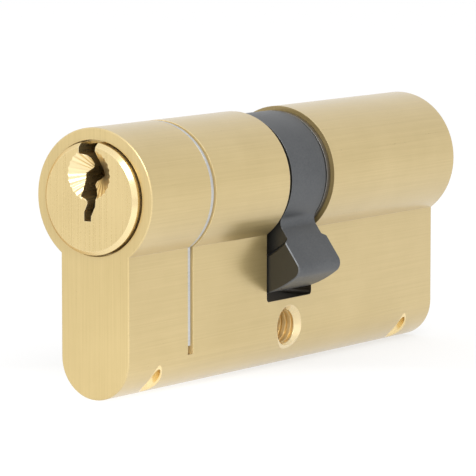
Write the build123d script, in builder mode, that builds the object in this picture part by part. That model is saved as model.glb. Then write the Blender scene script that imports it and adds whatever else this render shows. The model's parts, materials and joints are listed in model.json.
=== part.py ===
from build123d import *
import math
import os

os.makedirs("parts", exist_ok=True)

# Frame: millimetres, origin at the middle of the fixing-screw hole, X along the length with the
# outer key end toward -X, Y along the screw hole, Z up. Drops are counted down from the plug axis.

# Profile and lengths
outer_length = 35.0
inner_length = 35.0
head_radius = 8.5
stem_width = 10.0
profile_height = 33.0
screw_over_bottom = 5.3
edge_break = 0.1
cutter_margin = 2.0

# Cam gap
gap_width = 10.3
gap_floor_over_screw = 3.7
gap_corner_radius = 0.5

# Fits between pieces
running_clearance = 0.05
head_clearance = 0.2
end_clearance = 0.05
side_clearance = 0.05

# Cut with its guard plate
cut_width = 1.1
cut_floor_over_bottom = 4.45
cut_wall = 0.5
plate_thickness = 0.5
plate_foot_over_cut = 1.1
plate_inset = 0.03
plate_hole_clearance = 0.1

# Fixing screw thread, M5 x 0.8
thread_minor_radius = 2.1
thread_major_radius = 2.5
thread_pitch = 0.8
thread_crest = 0.44
thread_root = 0.1
thread_overcut = 0.1
thread_runout = 0.1
thread_mouth_radius = 2.8
thread_mouth_depth = 0.7

# Pin chambers, with the walls left toward the key face and the cam gap
pins_before_cut = 2
pins_after_cut = 4
chamber_radius = 1.3
chamber_face_wall = 5.7
chamber_gap_wall = 2.4
plug_chamber_rise = 1.0
cap_height = 2.2

# Drill guard pins
drill_pin_distance = 6.6
drill_pin_wall = 0.35
drill_pin_radius = 1.2
drill_pin_rim = 0.2
drill_pin_top_drop = 9.0
drill_pin_foot_over_bottom = 3.7

# Plug
barrel_radius = 6.5
plug_head_radius = 6.85
plug_head_depth = 1.3
plug_proud = 1.1
plug_chamfer = 0.5
tail_radius = 5.0
tail_bore_radius = 3.45
tail_bore_overlap = 0.4

# Key countersink in the plug face
countersink_radius = 3.15
countersink_rise = 2.88
countersink_depth = 3.0
countersink_flutes = 26
countersink_flute_depth = 0.14

# Keyway outline, across and up from the plug axis, from its right edge round to its left edge
keyway_outline = (
    (1.5, 5.35), (0.75, 5.2), (0.4, 4.85), (0.4, 4.1), (0.7, 3.6), (1.5, 2.95), (1.45, 1.7), (1.28, 0.2),
    (0.6, 0.0), (0.25, -0.3), (0.25, -0.6), (0.72, -1.6), (0.72, -2.7), (-0.28, -2.7), (-0.3, -2.1),
    (-0.9, -0.9), (-0.98, -0.2), (-0.9, 0.4), (-0.4, 1.0), (0.25, 1.5), (0.25, 1.95), (-0.7, 2.65),
    (-0.55, 3.2), (-0.7, 5.0), (-0.95, 6.0),
)
keyway_top_right = 1.45
keyway_top_left = -1.25

# Retaining clips
clip_thickness = 0.75
clip_under_ring = 0.1
clip_groove_radius = 4.4
clip_opening = 6.4

# Cam
cam_angle = 28.5
cam_ring_inset = 0.5
cam_ring_width = 7.8
cam_neck_fillet = 1.3
cam_neck_share = 1 / 3
cam_nose_slope = 0.45
cam_nose_over_floor = 0.3
cam_nose_width = 9.7
cam_nose_half_width = 3.54
cam_flank_flare = 6.8
cam_nose_corner = 1.3
cam_nose_edge = 0.12
cam_web_width = 1.6

# Clutch
web_to_tail = 0.2
dog_bite = 1.5
dog_retreat = 0.1
dog_length = 2.6
dog_wing_width = 3.0
dog_wing_reach = 4.6
dog_pocket_radius = 1.5
dog_pocket_depth = 1.2
clutch_spring_radius = 1.05
clutch_spring_wire = 0.16
clutch_spring_turns = 4

# Pins and springs
pin_chamfer = 0.3
pin_tip_radius = 0.4
key_pin_lengths = (4.6, 5.4, 4.2, 5.0, 5.8, 4.4)
pin_stack_length = 9.6
key_pin_base_drop = 6.36
driver_top_drop = 6.6
pin_spring_radius = 0.95
pin_spring_wire = 0.16
pin_spring_turns = 8

# Places worked out from the sizes above
total_length = outer_length + inner_length
bottom_z = -screw_over_bottom
plug_axis_height = profile_height - head_radius - screw_over_bottom
round_centre_drop = profile_height - head_radius - stem_width / 2
half_gap = gap_width / 2
half_stem = stem_width / 2
gap_floor_drop = plug_axis_height - gap_floor_over_screw
cut_drop = plug_axis_height - bottom_z - cut_floor_over_bottom
plate_drop = cut_drop - plate_foot_over_cut
beside_cut = cut_width / 2 + cut_wall + chamber_radius
drill_pin_offset = half_stem - drill_pin_wall - drill_pin_radius
drill_pin_foot_drop = plug_axis_height - bottom_z - drill_pin_foot_over_bottom
cam_ring_radius = head_radius - cam_ring_inset
cam_nose_radius = gap_floor_drop - cam_nose_over_floor
cam_nose_root = cam_ring_radius + cam_neck_share * (cam_nose_radius - cam_ring_radius)
clip_outer_radius = cam_ring_radius - clip_under_ring
bore_radius = barrel_radius + running_clearance
head_bore_radius = plug_head_radius + head_clearance
tail_end = cam_web_width / 2 + web_to_tail
dog_front = dog_bite - cam_web_width / 2
dog_retracted = cam_web_width / 2 + dog_retreat
dog_hub_radius = tail_bore_radius - running_clearance
dog_slot_width = dog_wing_width + 2 * side_clearance
dog_slot_end = dog_retracted + dog_length + end_clearance
clip_groove_width = clip_thickness + 2 * end_clearance
pin_radius = chamber_radius - running_clearance
cap_top = bottom_z + cap_height
axis_point = (0, 0, plug_axis_height)
plug_axis = Axis(axis_point, (1, 0, 0))


def section(x):
    """Plane across the cylinder at x: its local x is Y, its local y is the height over the plug axis."""
    return Plane(origin=(x, 0, plug_axis_height), x_dir=(0, 1, 0), z_dir=(1, 0, 0))


def cam_section(x):
    """The same plane turned so that its local -y runs along the cam's nose."""
    turn = math.radians(cam_angle)
    return Plane(origin=(x, 0, plug_axis_height), x_dir=(0, math.cos(turn), -math.sin(turn)), z_dir=(1, 0, 0))


def upright(x, z):
    """Upright plane along the cylinder through (x, 0, z): its local x is X and its local y is Z."""
    return Plane(origin=(x, 0, z), x_dir=(1, 0, 0), z_dir=(0, -1, 0))


def level(x, y, z):
    """Level plane through (x, y, z)."""
    return Plane(origin=(x, y, z))


def euro_outline(inset):
    """Draw the keyhole-shaped cross-section in the open sketch, drawn in by inset."""
    Circle(head_radius - inset)
    with Locations((0, -round_centre_drop / 2)):
        Rectangle(stem_width - 2 * inset, round_centre_drop)
    with Locations((0, -round_centre_drop)):
        Circle(half_stem - inset)


def cam_half_width(drop):
    """Half the width across the cam's flanks at this distance from the plug axis."""
    return cam_nose_half_width - (cam_nose_radius - drop) * math.tan(math.radians(cam_flank_flare))


def cam_flanks(drop):
    """Corners of the tapered strip between the cam's flanks, from the plug axis out to this distance."""
    start = cam_half_width(0)
    end = cam_half_width(drop)
    return (-start, 0), (start, 0), (end, -drop), (-end, -drop)


def pin_pitch(length):
    """Spacing of the pin chambers on a side of this length."""
    walls = chamber_face_wall + chamber_gap_wall + 2 * chamber_radius + 2 * beside_cut
    return (length - half_gap - walls) / (pins_before_cut + pins_after_cut - 2)


def cut_distance(length):
    """Distance from the key face to the middle of the wide wall that takes the cut."""
    return chamber_face_wall + chamber_radius + (pins_before_cut - 1) * pin_pitch(length) + beside_cut


def chamber_distances(length):
    """Distances of the pin chambers from the key face, with the cut between two of them."""
    pitch = pin_pitch(length)
    last_before = cut_distance(length) - beside_cut
    first_after = cut_distance(length) + beside_cut
    before = [last_before - pitch * step for step in reversed(range(pins_before_cut))]
    after = [first_after + pitch * step for step in range(pins_after_cut)]
    return before + after


def save(part, name):
    """Name a piece and write its file."""
    part.label = name
    export_step(part, "parts/" + name + ".step")


# Length of each side, and the direction from its key face into the body
sides = (("outer", outer_length, 1), ("inner", inner_length, -1))
cut_x = cut_distance(outer_length) - outer_length

# Body
with BuildPart() as body:
    with BuildSketch(section(-outer_length)):
        euro_outline(0)
    extrude(amount=total_length)
    chamfer(body.edges().group_by(Axis.X)[0], edge_break)
    chamfer(body.edges().group_by(Axis.X)[-1], edge_break)
    with BuildSketch(section(-outer_length)):
        Circle(bore_radius)
    extrude(amount=total_length, mode=Mode.SUBTRACT)
    for side_name, length, inward in sides:
        with BuildSketch(section(-inward * length)):
            Circle(head_bore_radius)
        extrude(amount=inward * plug_head_depth, mode=Mode.SUBTRACT)
    gap_height = gap_floor_drop + head_radius + cutter_margin
    with BuildSketch(upright(0, plug_axis_height - gap_floor_drop + gap_height / 2)):
        RectangleRounded(gap_width, gap_height, gap_corner_radius)
    extrude(amount=head_radius + cutter_margin, both=True, mode=Mode.SUBTRACT)
    cut_height = cut_drop + head_radius + cutter_margin
    with BuildSketch(upright(cut_x, plug_axis_height - cut_drop + cut_height / 2)):
        Rectangle(cut_width, cut_height)
    extrude(amount=head_radius + cutter_margin, both=True, mode=Mode.SUBTRACT)
    # Threaded hole for the fixing screw, with a countersunk mouth at both ends
    mouth_floor = half_stem - thread_mouth_depth
    with BuildSketch(Plane.XY):
        with BuildLine():
            Polyline(
                (0, -half_stem), (thread_mouth_radius, -half_stem), (thread_minor_radius, -mouth_floor),
                (thread_minor_radius, mouth_floor), (thread_mouth_radius, half_stem), (0, half_stem),
                close=True,
            )
        make_face()
    revolve(axis=Axis.Y, mode=Mode.SUBTRACT)
    thread_half = mouth_floor - thread_runout
    with BuildLine(mode=Mode.PRIVATE) as thread_path:
        Helix(
            pitch=thread_pitch,
            height=2 * thread_half,
            radius=thread_minor_radius,
            center=(0, -thread_half, 0),
            direction=(0, 1, 0),
        )
    groove_depth = thread_major_radius - thread_minor_radius
    groove_half = (thread_pitch - thread_crest) / 2
    root_half = thread_root / 2
    mouth_half = groove_half + (groove_half - root_half) * thread_overcut / groove_depth
    thread_start = Plane(origin=thread_path.line @ 0, x_dir=(0, 0, 1), z_dir=thread_path.line % 0)
    with BuildSketch(thread_start, mode=Mode.PRIVATE) as groove:
        with BuildLine():
            Polyline(
                (-thread_overcut, -mouth_half), (groove_depth, -root_half),
                (groove_depth, root_half), (-thread_overcut, mouth_half),
                close=True,
            )
        make_face()
    sweep(sections=groove.sketch, path=thread_path.line, is_frenet=True, mode=Mode.SUBTRACT)
    for side_name, length, inward in sides:
        for distance in chamber_distances(length):
            with BuildSketch(level(inward * (distance - length), 0, bottom_z - cutter_margin)):
                Circle(chamber_radius)
            extrude(amount=plug_axis_height - bottom_z + cutter_margin, mode=Mode.SUBTRACT)
        drill_pin_x = inward * (drill_pin_distance - length)
        for across in (-drill_pin_offset, drill_pin_offset):
            with BuildSketch(level(drill_pin_x, across, bottom_z - cutter_margin)):
                Circle(drill_pin_radius)
            hole_top = plug_axis_height - drill_pin_top_drop
            extrude(amount=hole_top - bottom_z + cutter_margin, mode=Mode.SUBTRACT)
            chamfer(body.edges(Select.LAST).filter_by(GeomType.BSPLINE), drill_pin_rim)
save(body.part, "body")

# Guard plate against the cut's outer wall
with BuildPart() as snap_guard_plate:
    with BuildSketch(section(cut_x - cut_width / 2 + end_clearance)):
        euro_outline(plate_inset)
        with Locations((0, -plate_drop - profile_height / 2)):
            Rectangle(2 * head_radius, profile_height, mode=Mode.SUBTRACT)
        Circle(barrel_radius + plate_hole_clearance, mode=Mode.SUBTRACT)
    extrude(amount=plate_thickness)
save(snap_guard_plate.part, "snap_guard_plate")


def make_plug(length):
    """Plug of one side, drawn with its key face toward -X."""
    front = -length - plug_proud
    head_back = -length + plug_head_depth - end_clearance
    groove_end = -half_gap + clip_groove_width
    with BuildPart() as plug:
        with BuildSketch(upright(0, plug_axis_height)):
            with BuildLine():
                Polyline(
                    (front, 0),
                    (front, plug_head_radius - plug_chamfer),
                    (front + plug_chamfer, plug_head_radius),
                    (head_back, plug_head_radius),
                    (head_back, barrel_radius),
                    (-half_gap, barrel_radius),
                    (-half_gap, clip_groove_radius),
                    (groove_end, clip_groove_radius),
                    (groove_end, tail_radius),
                    (-tail_end, tail_radius),
                    (-tail_end, 0),
                    close=True,
                )
            make_face()
        revolve(axis=plug_axis)
        # Warded keyway, open through the top of the plug
        open_top = plug_head_radius + cutter_margin
        with BuildSketch(section(front)):
            with BuildLine():
                Polyline(
                    (keyway_top_right, open_top), *keyway_outline, (keyway_top_left, open_top), close=True
                )
            make_face()
        extrude(amount=-half_gap - front, mode=Mode.SUBTRACT)
        # Countersink with the radial flutes its cutter leaves
        flute_points = []
        for step in range(2 * countersink_flutes):
            turn = math.pi * step / countersink_flutes
            radius = countersink_radius - countersink_flute_depth * (step % 2)
            flute_points.append((radius * math.cos(turn), countersink_rise + radius * math.sin(turn)))
        with BuildSketch(section(front), mode=Mode.PRIVATE) as flutes:
            with BuildLine():
                Polyline(*flute_points, close=True)
            make_face()
        apex = Vertex(front + countersink_depth, 0, plug_axis_height + countersink_rise)
        loft(sections=[flutes.sketch.faces()[0], apex], ruled=True, mode=Mode.SUBTRACT)
        for distance in chamber_distances(length):
            with BuildSketch(level(distance - length, 0, 0)):
                Circle(chamber_radius)
            extrude(amount=plug_axis_height + plug_chamber_rise, mode=Mode.SUBTRACT)
        # Clutch room in the tail
        with BuildSketch(section(-tail_end)):
            Circle(tail_bore_radius)
        extrude(amount=-(half_gap + tail_bore_overlap - tail_end), mode=Mode.SUBTRACT)
        with BuildSketch(section(-tail_end)):
            Rectangle(2 * (tail_radius + cutter_margin), dog_slot_width)
        extrude(amount=-(dog_slot_end - tail_end), mode=Mode.SUBTRACT)
    return plug.part


about_face = Rot(0, 0, 180)
save(make_plug(outer_length), "outer_plug")
save(about_face * make_plug(inner_length), "inner_plug")


def make_circlip(mouth_side):
    """Open retaining clip of the outer plug, its mouth toward +Y for 1 or toward -Y for -1."""
    with BuildPart() as circlip:
        with BuildSketch(section(-half_gap + end_clearance)):
            Circle(clip_outer_radius)
            Circle(clip_groove_radius + running_clearance, mode=Mode.SUBTRACT)
            with Locations((mouth_side * clip_outer_radius / 2, 0)):
                Rectangle(clip_outer_radius, clip_opening, mode=Mode.SUBTRACT)
        extrude(amount=clip_thickness)
    return circlip.part


# Both mouths lie away from the cam's nose
save(make_circlip(1), "outer_circlip")
save(about_face * make_circlip(-1), "inner_circlip")

# Cam: a nose wider than the ring, with sloped shoulders, then the ring and neck of one width
with BuildPart() as cam:
    half_nose = cam_nose_width / 2
    half_ring = cam_ring_width / 2
    with BuildSketch(upright(0, plug_axis_height)):
        with BuildLine():
            Polyline(
                (-half_ring, cam_nose_root), (half_ring, cam_nose_root),
                (half_nose, cam_nose_root + cam_nose_slope), (half_nose, cam_nose_radius),
                (-half_nose, cam_nose_radius), (-half_nose, cam_nose_root + cam_nose_slope),
                close=True,
            )
        make_face()
    revolve(axis=plug_axis)
    with BuildSketch(cam_section(-half_nose)) as nose_profile:
        Circle(cam_nose_radius)
        with BuildLine():
            Polyline(*cam_flanks(cam_nose_radius + cutter_margin), close=True)
        make_face(mode=Mode.INTERSECT)
        fillet(nose_profile.vertices().group_by(Axis.Y)[0], cam_nose_corner)
    extrude(amount=cam_nose_width, mode=Mode.INTERSECT)
    chamfer(cam.edges().group_by(Axis.X)[0], cam_nose_edge)
    chamfer(cam.edges().group_by(Axis.X)[-1], cam_nose_edge)
    with BuildSketch(cam_section(-half_ring)) as cam_profile:
        Circle(cam_ring_radius)
        with BuildLine():
            Polyline(*cam_flanks(cam_nose_root + cam_nose_slope), close=True)
        make_face()
        inner_corners = [v for v in cam_profile.vertices() if abs(v.Y) < cam_ring_radius]
        fillet(inner_corners, cam_neck_fillet)
    extrude(amount=cam_ring_width)
    for end in (-1, 1):
        with BuildSketch(section(end * cam_ring_width / 2)):
            Circle(tail_radius + running_clearance)
        extrude(amount=-end * (cam_ring_width - cam_web_width) / 2, mode=Mode.SUBTRACT)
    with BuildSketch(section(0)):
        Circle(dog_hub_radius + running_clearance)
        Rectangle(2 * (dog_wing_reach + side_clearance), dog_slot_width)
    extrude(amount=cam_web_width, both=True, mode=Mode.SUBTRACT)
save(cam.part, "cam")


def make_dog(front):
    """Clutch dog of the outer plug with its front face at x = front."""
    with BuildPart() as dog:
        with BuildSketch(section(front)):
            Circle(dog_hub_radius)
            Rectangle(2 * dog_wing_reach, dog_wing_width)
        extrude(amount=-dog_length)
        with BuildSketch(section(front)):
            Circle(dog_pocket_radius)
        extrude(amount=-dog_pocket_depth, mode=Mode.SUBTRACT)
    return dog.part


save(make_dog(dog_front), "outer_clutch_dog")
save(about_face * make_dog(-dog_retracted), "inner_clutch_dog")

# Spring between the floors of the two pockets
spring_start = dog_front - dog_pocket_depth + clutch_spring_wire + end_clearance
spring_end = dog_retracted + dog_pocket_depth - clutch_spring_wire - end_clearance
with BuildPart() as clutch_spring:
    with BuildLine() as clutch_coil:
        Helix(
            pitch=(spring_end - spring_start) / clutch_spring_turns,
            height=spring_end - spring_start,
            radius=clutch_spring_radius,
            center=(spring_start, 0, plug_axis_height),
            direction=(1, 0, 0),
        )
    with BuildSketch(Plane(origin=clutch_coil.line @ 0, z_dir=clutch_coil.line % 0)):
        Circle(clutch_spring_wire)
    sweep()
save(clutch_spring.part, "clutch_spring")


def make_key_pin(x, length):
    """Key pin with its tip up, its foot just inside the plug's surface."""
    foot = -key_pin_base_drop
    tip = foot + length
    with BuildPart() as key_pin:
        with BuildSketch(upright(x, plug_axis_height)):
            with BuildLine():
                Polyline(
                    (0, foot), (pin_radius - pin_chamfer, foot), (pin_radius, foot + pin_chamfer),
                    (pin_radius, tip - pin_radius + pin_tip_radius), (pin_tip_radius, tip), (0, tip),
                    close=True,
                )
            make_face()
        revolve(axis=Axis((x, 0, 0), (0, 0, 1)))
    return key_pin.part


def make_driver_pin(x, length):
    """Driver pin below a key pin, its head just outside the plug's surface."""
    head = -driver_top_drop
    foot = head - length
    with BuildPart() as driver_pin:
        with BuildSketch(upright(x, plug_axis_height)):
            with BuildLine():
                Polyline(
                    (0, foot), (pin_radius - pin_chamfer, foot), (pin_radius, foot + pin_chamfer),
                    (pin_radius, head - pin_chamfer), (pin_radius - pin_chamfer, head), (0, head),
                    close=True,
                )
            make_face()
        revolve(axis=Axis((x, 0, 0), (0, 0, 1)))
    return driver_pin.part


def make_pin_spring(x, driver_length):
    """Coil spring between a chamber's cap and its driver pin."""
    start = cap_top + pin_spring_wire + end_clearance
    end = plug_axis_height - driver_top_drop - driver_length - pin_spring_wire - end_clearance
    with BuildPart() as pin_spring:
        with BuildLine() as coil:
            Helix(
                pitch=(end - start) / pin_spring_turns,
                height=end - start,
                radius=pin_spring_radius,
                center=(x, 0, start),
            )
        with BuildSketch(Plane(origin=coil.line @ 0, z_dir=coil.line % 0)):
            Circle(pin_spring_wire)
        sweep()
    return pin_spring.part


for side_name, length, inward in sides:
    chamber_places = [inward * (distance - length) for distance in chamber_distances(length)]
    for number, (x, key_length) in enumerate(zip(chamber_places, key_pin_lengths), start=1):
        driver_length = pin_stack_length - key_length
        save(make_key_pin(x, key_length), f"{side_name}_key_pin_{number}")
        save(make_driver_pin(x, driver_length), f"{side_name}_driver_pin_{number}")
        save(make_pin_spring(x, driver_length), f"{side_name}_pin_spring_{number}")

    # Caps of the chambers, cut off flush with the round of the stem
    with BuildPart() as caps:
        for x in chamber_places:
            with BuildSketch(level(x, 0, bottom_z - cutter_margin)):
                Circle(chamber_radius)
            extrude(amount=cap_top - bottom_z + cutter_margin)
        with BuildSketch(section(-outer_length)):
            euro_outline(0)
        extrude(amount=total_length, mode=Mode.INTERSECT)
    save(caps.part, side_name + "_chamber_caps")

    # Hardened pins pressed in from below
    with BuildPart() as drill_pins:
        for across in (-drill_pin_offset, drill_pin_offset):
            foot_z = plug_axis_height - drill_pin_foot_drop
            with BuildSketch(level(inward * (drill_pin_distance - length), across, foot_z)):
                Circle(drill_pin_radius)
            extrude(amount=drill_pin_foot_drop - drill_pin_top_drop - end_clearance)
    save(drill_pins.part, side_name + "_drill_pins")
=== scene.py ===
import json

import bpy
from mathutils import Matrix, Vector


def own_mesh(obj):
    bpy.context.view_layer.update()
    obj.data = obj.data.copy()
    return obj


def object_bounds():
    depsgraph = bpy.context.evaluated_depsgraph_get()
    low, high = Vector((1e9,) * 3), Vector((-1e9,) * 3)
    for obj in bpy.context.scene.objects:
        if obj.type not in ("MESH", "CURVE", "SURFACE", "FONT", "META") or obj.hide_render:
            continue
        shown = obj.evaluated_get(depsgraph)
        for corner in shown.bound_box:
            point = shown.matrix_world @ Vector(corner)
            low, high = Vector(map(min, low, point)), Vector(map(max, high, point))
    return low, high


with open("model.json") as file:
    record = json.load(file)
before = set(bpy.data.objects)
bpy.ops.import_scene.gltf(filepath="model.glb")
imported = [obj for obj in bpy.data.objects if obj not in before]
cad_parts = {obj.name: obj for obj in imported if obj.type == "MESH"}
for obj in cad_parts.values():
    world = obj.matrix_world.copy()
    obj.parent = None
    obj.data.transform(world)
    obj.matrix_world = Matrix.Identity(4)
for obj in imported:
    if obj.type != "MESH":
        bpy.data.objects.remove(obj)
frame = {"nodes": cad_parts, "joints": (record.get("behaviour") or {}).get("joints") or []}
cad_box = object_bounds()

nodes = frame["nodes"]
scene = bpy.context.scene

# Photograph's camera: places in metres, lens and sensor in millimetres
CAMERA_PLACE = (-0.38419, -0.25635, 0.06405)
CAMERA_TARGET = (-0.00134, 0.00196, 0.01109)
CAMERA_LENS = 274.9
CAMERA_SENSOR = 36.0
CAMERA_NEAR = 0.01
CAMERA_FAR = 50.0

# Sky brightness: a direction's X or Z from and to, and the brightness at each
SKY_SIDEWAYS = (-1.0, 1.0, 1.56, 0.87)
SKY_UPWARD = (0.0, 0.7, 1.0, 0.86)

# Softboxes: name, place, width and height in metres, power in watts
SOFTBOXES = (
    ("top_softbox", (0.10, -0.10, 0.60), 0.6, 0.4, 0.4),
    ("front_softbox", (-0.30, -0.28, 0.36), 0.20, 0.20, 0.9),
)
SOFTBOX_TARGET = (0.0, 0.0, 0.012)

# Floor, with a glow in front of the key end: its middle, how far from it in metres, and the strength there
FLOOR_REACH = 3.0
FLOOR_GREY = (0.22, 0.22, 0.22)
FLOOR_ROUGHNESS = 0.9
FLOOR_GLOW_CENTRE = (-0.075, -0.045, -0.0051)
FLOOR_GLOW = (0.02, 0.09, 1.15, 0.70)
WHITE = (1.0, 1.0, 1.0)

# Noise scales, in features per metre, and detail
GRAIN_ACROSS = 5200.0
GRAIN_ALONG = 55.0
FACE_GRAIN_ALONG = 60.0
CLOUD_SCALE = 95.0
SPECK_SCALE = 3800.0
LINE_DETAIL = 3.0
CAST_DETAIL = 2.0
CLOUD_DETAIL = 4.0
SPECK_DETAIL = 1.0
NOISE_ROUGHNESS = 0.6

# How grain lines, cloud and specks share in tone, roughness and height
LINES_IN_TONE = 0.55
CLOUD_IN_TONE = 0.45
TONE_SPAN = (0.36, 0.64)
SPECKS_IN_ROUGHNESS = 0.4
ROUGHNESS_SPAN = (0.4, 1.0)
SMOOTHEST = -0.05
ROUGHEST = 0.08
SPECKS_IN_HEIGHT = 0.25
BUMP_HEIGHT = 0.00002
COAT_ROUGHNESS = 0.22

# Rounding that the shader gives to sharp edges, in metres, and how they are rubbed
EDGE_RADIUS = 0.00010
EDGE_SAMPLES = 6
EDGE_LIKENESS = (0.995, 0.90)
EDGE_CLOUD = (0.30, 0.55, 0.35, 1.0)
EDGE_SMOOTHING = 0.12

# Faces told apart by the size of their normal's X or Y, from and to
END_FACE = (0.72, 0.80)
INNER_FACE = (0.6, 0.4)
SLOPE_FROM = (0.30, 0.36)
SLOPE_TO = (0.94, 0.88)

# Places that cutters left unlike the brushed outside, in metres
SCREW_MOUTH = 0.0028
SCREW_MOUTH_FLOOR = 0.0043
GAP_HALF = 0.00515
GAP_FLOOR = 0.0037
# Heights over which the painted shade in the cam's gap goes from darkest to lightest
GAP_SHADE = (0.005, 0.013)
DRILL_HOLE_X = 0.0284
DRILL_HOLE_Y = 0.00345
DRILL_HOLE_RIM = 0.00138
CUT_X = -0.02204
CUT_HALF = 0.00055
CUTTER_TRACE = 0.00006
PLUG_AXIS = 0.0192
PLUG_CHAMFER = 0.0062

# Colour and roughness that the cutters left, with painted shade in the milled gap and painted light in the
# sawn cut and the tapped hole
# Painted shade in the cam's gap, darkest at its floor and lighter higher up
PAINTED_GAP_SHADE_DARK = (0.03, 0.02, 0.008)
PAINTED_GAP_SHADE_LIGHT = (0.34, 0.25, 0.10)
MILLED_ROUGHNESS = 0.45
# Fresh-cut brass, made lighter as painted light for the sawn cut's shaded walls; also used in the guard-pin
# holes
FRESH_CUT_AND_PAINTED_LIGHT = (0.92, 0.72, 0.36)
SAWN_ROUGHNESS = 0.60
DRILLED_ROUGHNESS = 0.22
# Fresh-cut thread, made lighter as painted light against the shade inside the tapped hole
TAPPED_AND_PAINTED_LIGHT = (0.96, 0.77, 0.42)
TAPPED_ROUGHNESS = 0.34
POLISHED = (0.80, 0.65, 0.37)
POLISHED_ROUGHNESS = 0.20
TURNED = (0.76, 0.61, 0.33)
TURNED_ROUGHNESS = 0.22
FLUTED = (0.80, 0.66, 0.38)
FLUTED_ROUGHNESS = 0.30
SINTERED = (0.085, 0.083, 0.074)
SINTERED_ROUGHNESS = 0.55


def aim(obj, place, target):
    obj.location = place
    obj.rotation_mode = "QUATERNION"
    obj.rotation_quaternion = (Vector(target) - Vector(place)).to_track_quat("-Z", "Y")


def camera():
    data = bpy.data.cameras.new("photo_camera")
    data.lens = CAMERA_LENS
    data.sensor_width = CAMERA_SENSOR
    data.clip_start = CAMERA_NEAR
    data.clip_end = CAMERA_FAR
    obj = bpy.data.objects.new("photo_camera", data)
    scene.collection.objects.link(obj)
    aim(obj, CAMERA_PLACE, CAMERA_TARGET)
    scene.camera = obj


def rgba(colour):
    return (*colour, 1.0)


class Graph:
    """Small helper that adds and links shader nodes of a material or world."""

    def __init__(self, owner):
        owner.use_nodes = True
        self.tree = owner.node_tree
        self.tree.nodes.clear()

    def feed(self, target, source):
        if isinstance(source, bpy.types.NodeSocket):
            self.tree.links.new(source, target)
        else:
            target.default_value = source

    def add(self, kind, links=None, **values):
        node = self.tree.nodes.new(kind)
        for key, value in values.items():
            setattr(node, key, value)
        for socket, source in (links or {}).items():
            self.feed(node.inputs[socket], source)
        return node

    def math(self, operation, first, second=0.0):
        return self.add("ShaderNodeMath", {0: first, 1: second}, operation=operation).outputs[0]

    def size(self, value):
        return self.math("ABSOLUTE", value)

    def between(self, value, low, high, to_low=0.0, to_high=1.0):
        links = {"Value": value, "From Min": low, "From Max": high, "To Min": to_low, "To Max": to_high}
        return self.add("ShaderNodeMapRange", links).outputs["Result"]

    def blend(self, share, first, second, data_type, socket_type):
        node = self.add("ShaderNodeMix", data_type=data_type)
        wanted = (("Factor", "VALUE", share), ("A", socket_type, first), ("B", socket_type, second))
        for name, kind, source in wanted:
            self.feed(next(s for s in node.inputs if s.name == name and s.type == kind), source)
        return next(s for s in node.outputs if s.type == socket_type)

    def mix(self, share, first, second):
        return self.blend(share, first, second, "FLOAT", "VALUE")

    def mix_colour(self, share, first, second):
        return self.blend(share, first, second, "RGBA", "RGBA")

    def split(self, vector):
        return self.add("ShaderNodeSeparateXYZ", {"Vector": vector}).outputs

    def streaks(self, place, scale, detail):
        mapped = self.add("ShaderNodeMapping", {"Vector": place, "Scale": scale}).outputs["Vector"]
        links = {"Vector": mapped, "Scale": 1.0, "Detail": detail, "Roughness": NOISE_ROUGHNESS}
        return self.add("ShaderNodeTexNoise", links).outputs["Fac"]


def end_face(g, direction):
    return g.between(g.size(direction["X"]), *END_FACE)


def near(g, value, goal):
    """1 where the value is close to the goal, 0 elsewhere."""
    away = g.size(g.math("SUBTRACT", value, goal))
    return g.between(away, 2 * CUTTER_TRACE, CUTTER_TRACE)


def distance(g, first, first_goal, second, second_goal):
    across = g.math("POWER", g.math("SUBTRACT", first, first_goal), 2.0)
    up = g.math("POWER", g.math("SUBTRACT", second, second_goal), 2.0)
    return g.math("SQRT", g.math("ADD", across, up))


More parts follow.
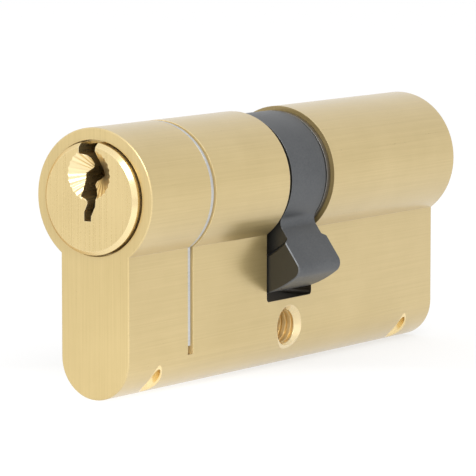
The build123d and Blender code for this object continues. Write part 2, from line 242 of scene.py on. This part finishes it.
def cutter_traces(g, place, direction, base, rough):
    """Colour and roughness of the body where it was drilled, tapped, sawn or milled, with painted shade in
    the milled gap and painted light in the sawn cut and the tapped hole.
    """
    is_end = end_face(g, direction)
    is_inner = g.between(g.size(direction["Y"]), *INNER_FACE)
    spot = g.split(place)
    x_size = g.size(spot["X"])
    y_size = g.size(spot["Y"])
    # Milled gap for the cam, with painted shade that is darkest at its floor
    wall = g.math("MULTIPLY", near(g, x_size, GAP_HALF), is_end)
    inside = g.between(x_size, GAP_HALF + CUTTER_TRACE, GAP_HALF)
    bottom = g.math("MULTIPLY", g.between(spot["Z"], GAP_FLOOR - CUTTER_TRACE, GAP_FLOOR), inside)
    milled_with_painted_shade = g.math("MAXIMUM", wall, g.math("MULTIPLY", bottom, is_inner))
    painted_gap_shade = g.mix_colour(g.between(spot["Z"], *GAP_SHADE), rgba(PAINTED_GAP_SHADE_DARK), rgba(PAINTED_GAP_SHADE_LIGHT))
    base = g.mix_colour(milled_with_painted_shade, base, painted_gap_shade)
    rough = g.mix(milled_with_painted_shade, rough, MILLED_ROUGHNESS)
    # Walls of the sawn cut, fresh-cut brass painted lighter to stand in for light that barely reaches into
    # the narrow cut
    sawn_and_painted_light = near(g, g.size(g.math("SUBTRACT", spot["X"], CUT_X)), CUT_HALF)
    sawn_and_painted_light = g.math("MULTIPLY", sawn_and_painted_light, is_end)
    base = g.mix_colour(sawn_and_painted_light, base, rgba(FRESH_CUT_AND_PAINTED_LIGHT))
    rough = g.mix(sawn_and_painted_light, rough, SAWN_ROUGHNESS)
    # Holes for the guard pins, clean and shiny
    drill = distance(g, x_size, DRILL_HOLE_X, y_size, DRILL_HOLE_Y)
    drill = g.between(drill, DRILL_HOLE_RIM + CUTTER_TRACE, DRILL_HOLE_RIM)
    drill = g.math("MULTIPLY", drill, g.between(spot["Z"], CUTTER_TRACE, 0.0))
    base = g.mix_colour(drill, base, rgba(FRESH_CUT_AND_PAINTED_LIGHT))
    rough = g.mix(drill, rough, DRILLED_ROUGHNESS)
    # Tapped hole with a smooth countersunk mouth; the thread's fresh-cut colour is made lighter as painted
    # light against the shade inside the hole
    screw = distance(g, spot["X"], 0.0, spot["Z"], 0.0)
    screw = g.between(screw, SCREW_MOUTH + CUTTER_TRACE, SCREW_MOUTH)
    mouth = g.between(y_size, SCREW_MOUTH_FLOOR - CUTTER_TRACE, SCREW_MOUTH_FLOOR)
    base = g.mix_colour(screw, base, g.mix_colour(mouth, rgba(TAPPED_AND_PAINTED_LIGHT), rgba(POLISHED)))
    rough = g.mix(screw, rough, g.mix(mouth, TAPPED_ROUGHNESS, POLISHED_ROUGHNESS))
    return base, rough


def turned_traces(g, place, direction, base, rough):
    """Colour and roughness of a plug on its turned chamfer and in its countersink."""
    facing = g.size(direction["X"])
    sloped = g.math("MULTIPLY", g.between(facing, *SLOPE_FROM), g.between(facing, *SLOPE_TO))
    spot = g.split(place)
    off_axis = distance(g, spot["Y"], 0.0, spot["Z"], PLUG_AXIS)
    outside = g.between(off_axis, PLUG_CHAMFER, PLUG_CHAMFER + CUTTER_TRACE)
    base = g.mix_colour(sloped, base, g.mix_colour(outside, rgba(FLUTED), rgba(TURNED)))
    rough = g.mix(sloped, rough, g.mix(outside, FLUTED_ROUGHNESS, TURNED_ROUGHNESS))
    return base, rough


def sintered_traces(g, place, direction, base, rough):
    """Colour and roughness of the cam on its end faces, which were left dull."""
    is_end = end_face(g, direction)
    return g.mix_colour(is_end, base, rgba(SINTERED)), g.mix(is_end, rough, SINTERED_ROUGHNESS)


def metal(name, dark, light, edge, roughness, grain="brushed", bump=0.10, wear=0.6, coat=0.0,
          stretch=0.0, metallic=1.0, glance=WHITE, traces=None):
    """Worked metal: grain lines, cloudy tone, fine specks, and edges rubbed bright."""
    material = bpy.data.materials.new(name)
    g = Graph(material)
    place = g.add("ShaderNodeTexCoord").outputs["Object"]
    facing = g.add("ShaderNodeNewGeometry").outputs["True Normal"]
    direction = g.split(facing)
    is_end = end_face(g, direction)
    # Lines along the length and up the end faces, or across the length where turned, or none where cast
    if grain == "brushed":
        along = g.streaks(place, (GRAIN_ALONG, GRAIN_ACROSS, GRAIN_ACROSS), LINE_DETAIL)
        upward = g.streaks(place, (GRAIN_ACROSS, GRAIN_ACROSS, FACE_GRAIN_ALONG), LINE_DETAIL)
        lines = g.mix(is_end, along, upward)
    elif grain == "turned":
        lines = g.streaks(place, (GRAIN_ACROSS, GRAIN_ALONG, GRAIN_ALONG), LINE_DETAIL)
    else:
        lines = g.streaks(place, (SPECK_SCALE,) * 3, CAST_DETAIL)
    cloud = g.streaks(place, (CLOUD_SCALE,) * 3, CLOUD_DETAIL)
    specks = g.streaks(place, (SPECK_SCALE,) * 3, SPECK_DETAIL)
    tone = g.math("ADD", g.math("MULTIPLY", lines, LINES_IN_TONE), g.math("MULTIPLY", cloud, CLOUD_IN_TONE))
    tone = g.between(tone, *TONE_SPAN)
    # Edges are where the rounded normal departs from the face's own
    rounded = g.add("ShaderNodeBevel", {"Radius": EDGE_RADIUS}, samples=EDGE_SAMPLES).outputs["Normal"]
    links = {0: rounded, 1: facing}
    likeness = g.add("ShaderNodeVectorMath", links, operation="DOT_PRODUCT").outputs["Value"]
    rubbed = g.between(likeness, *EDGE_LIKENESS)
    rubbed = g.math("MULTIPLY", rubbed, g.between(cloud, *EDGE_CLOUD))
    rubbed = g.math("MULTIPLY", rubbed, wear)
    base = g.mix_colour(tone, rgba(dark), rgba(light))
    base = g.mix_colour(rubbed, base, rgba(edge))
    rough = g.math("ADD", lines, g.math("MULTIPLY", specks, SPECKS_IN_ROUGHNESS))
    rough = g.between(rough, *ROUGHNESS_SPAN, roughness + SMOOTHEST, roughness + ROUGHEST)
    rough = g.math("SUBTRACT", rough, g.math("MULTIPLY", rubbed, EDGE_SMOOTHING))
    if traces:
        base, rough = traces(g, place, direction, base, rough)
    height = g.math("ADD", lines, g.math("MULTIPLY", specks, SPECKS_IN_HEIGHT))
    links = {"Strength": bump, "Distance": BUMP_HEIGHT, "Height": height, "Normal": rounded}
    normal = g.add("ShaderNodeBump", links).outputs["Normal"]
    # Stretched highlights run across the lines
    links = {"X": g.math("SUBTRACT", 1.0, is_end), "Z": is_end}
    line_run = g.add("ShaderNodeCombineXYZ", links).outputs["Vector"]
    links = {0: facing, 1: line_run}
    across_lines = g.add("ShaderNodeVectorMath", links, operation="CROSS_PRODUCT").outputs["Vector"]
    links = {"Base Color": base, "Metallic": metallic, "Roughness": rough, "Normal": normal,
             "Specular Tint": rgba(glance), "Anisotropic": stretch, "Tangent": across_lines,
             "Coat Weight": coat, "Coat Roughness": COAT_ROUGHNESS, "Coat Normal": rounded}
    shader = g.add("ShaderNodeBsdfPrincipled", links).outputs["BSDF"]
    g.add("ShaderNodeOutputMaterial", {"Surface": shader})
    return material


# Each metal: darker and lighter tone, rubbed edge, roughness, then what sets it apart
BRASS_BODY = metal("brass_body", (0.56, 0.425, 0.182), (0.63, 0.485, 0.221), (0.88, 0.77, 0.54), 0.32,
                   wear=0.35, coat=0.7, stretch=0.6, metallic=0.72, traces=cutter_traces)
BRASS_PLUG = metal("brass_plug", (0.63, 0.485, 0.23), (0.71, 0.555, 0.275), (0.92, 0.83, 0.62), 0.28,
                   coat=0.35, metallic=0.93, glance=(0.86, 0.65, 0.35), traces=turned_traces)
BRASS_PIN = metal("brass_pin", (0.66, 0.48, 0.20), (0.76, 0.58, 0.28), (0.90, 0.78, 0.50), 0.28, "turned")
STEEL_CAM = metal("steel_cam", (0.105, 0.110, 0.116), (0.150, 0.155, 0.160), (0.38, 0.39, 0.40), 0.42, "cast",
                  bump=0.16, wear=0.8, traces=sintered_traces)
STEEL_PLATE = metal("steel_plate", (0.50, 0.50, 0.48), (0.62, 0.62, 0.60), (0.80, 0.80, 0.79), 0.36)
STEEL_CLIP = metal("steel_clip", (0.16, 0.155, 0.15), (0.24, 0.235, 0.23), (0.48, 0.47, 0.46), 0.40, "cast")
STEEL_CLUTCH = metal("steel_clutch", (0.30, 0.30, 0.31), (0.38, 0.38, 0.39), (0.6, 0.6, 0.6), 0.40, "cast")
STEEL_WIRE = metal("steel_wire", (0.48, 0.48, 0.49), (0.60, 0.60, 0.61), (0.8, 0.8, 0.8), 0.24, "turned")
STEEL_PIN = metal("steel_pin", (0.45, 0.45, 0.46), (0.56, 0.56, 0.57), (0.8, 0.8, 0.8), 0.26, "turned")
STEEL_HARD = metal("steel_hard", (0.24, 0.24, 0.25), (0.33, 0.33, 0.34), (0.5, 0.5, 0.5), 0.34, "turned")

# The first mark found in a node's name gives its metal
FINISHES = (
    ("_pin_spring_", STEEL_WIRE),
    ("clutch_spring", STEEL_WIRE),
    ("_driver_pin_", STEEL_PIN),
    ("_key_pin_", BRASS_PIN),
    ("_chamber_caps", BRASS_PIN),
    ("_drill_pins", STEEL_HARD),
    ("_clutch_dog", STEEL_CLUTCH),
    ("_circlip", STEEL_CLIP),
    ("snap_guard_plate", STEEL_PLATE),
    ("cam", STEEL_CAM),
    ("_plug", BRASS_PLUG),
    ("body", BRASS_BODY),
)


def dress():
    for name, obj in nodes.items():
        finish = next(material for mark, material in FINISHES if mark in name)
        obj.data.materials.clear()
        obj.data.materials.append(finish)


def compress_springs():
    """Gives each pin spring that a joint deforms its own copy of its mesh."""
    for joint in frame["joints"]:
        for coil in joint.get("deforming_nodes", ()):
            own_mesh(nodes[coil["node"]])


def floor():
    height = cad_box[0].z
    signs = ((-1, -1), (1, -1), (1, 1), (-1, 1))
    corners = [(x * FLOOR_REACH, y * FLOOR_REACH, height) for x, y in signs]
    mesh = bpy.data.meshes.new("floor")
    mesh.from_pydata(corners, [], [(0, 1, 2, 3)])
    obj = bpy.data.objects.new("floor", mesh)
    scene.collection.objects.link(obj)
    material = bpy.data.materials.new("pale_floor")
    g = Graph(material)
    place = g.add("ShaderNodeTexCoord").outputs["Object"]
    links = {0: place, 1: FLOOR_GLOW_CENTRE}
    away = g.add("ShaderNodeVectorMath", links, operation="DISTANCE").outputs["Value"]
    links = {"Base Color": rgba(FLOOR_GREY), "Roughness": FLOOR_ROUGHNESS,
             "Emission Color": rgba(WHITE), "Emission Strength": g.between(away, *FLOOR_GLOW)}
    shader = g.add("ShaderNodeBsdfPrincipled", links).outputs["BSDF"]
    g.add("ShaderNodeOutputMaterial", {"Surface": shader})
    mesh.materials.append(material)


def sky():
    world = bpy.data.worlds.new("studio")
    scene.world = world
    g = Graph(world)
    direction = g.split(g.add("ShaderNodeTexCoord").outputs["Generated"])
    sideways = g.between(direction["X"], *SKY_SIDEWAYS)
    upward = g.between(direction["Z"], *SKY_UPWARD)
    links = {"Color": rgba(WHITE), "Strength": g.math("MULTIPLY", sideways, upward)}
    shader = g.add("ShaderNodeBackground", links).outputs["Background"]
    g.add("ShaderNodeOutputWorld", {"Surface": shader})


def softboxes():
    for name, place, width, height, power in SOFTBOXES:
        data = bpy.data.lights.new(name, "AREA")
        data.shape = "RECTANGLE"
        data.size = width
        data.size_y = height
        data.energy = power
        obj = bpy.data.objects.new(name, data)
        scene.collection.objects.link(obj)
        aim(obj, place, SOFTBOX_TARGET)


camera()
dress()
compress_springs()
floor()
sky()
softboxes()
scene.view_settings.view_transform = "Standard"
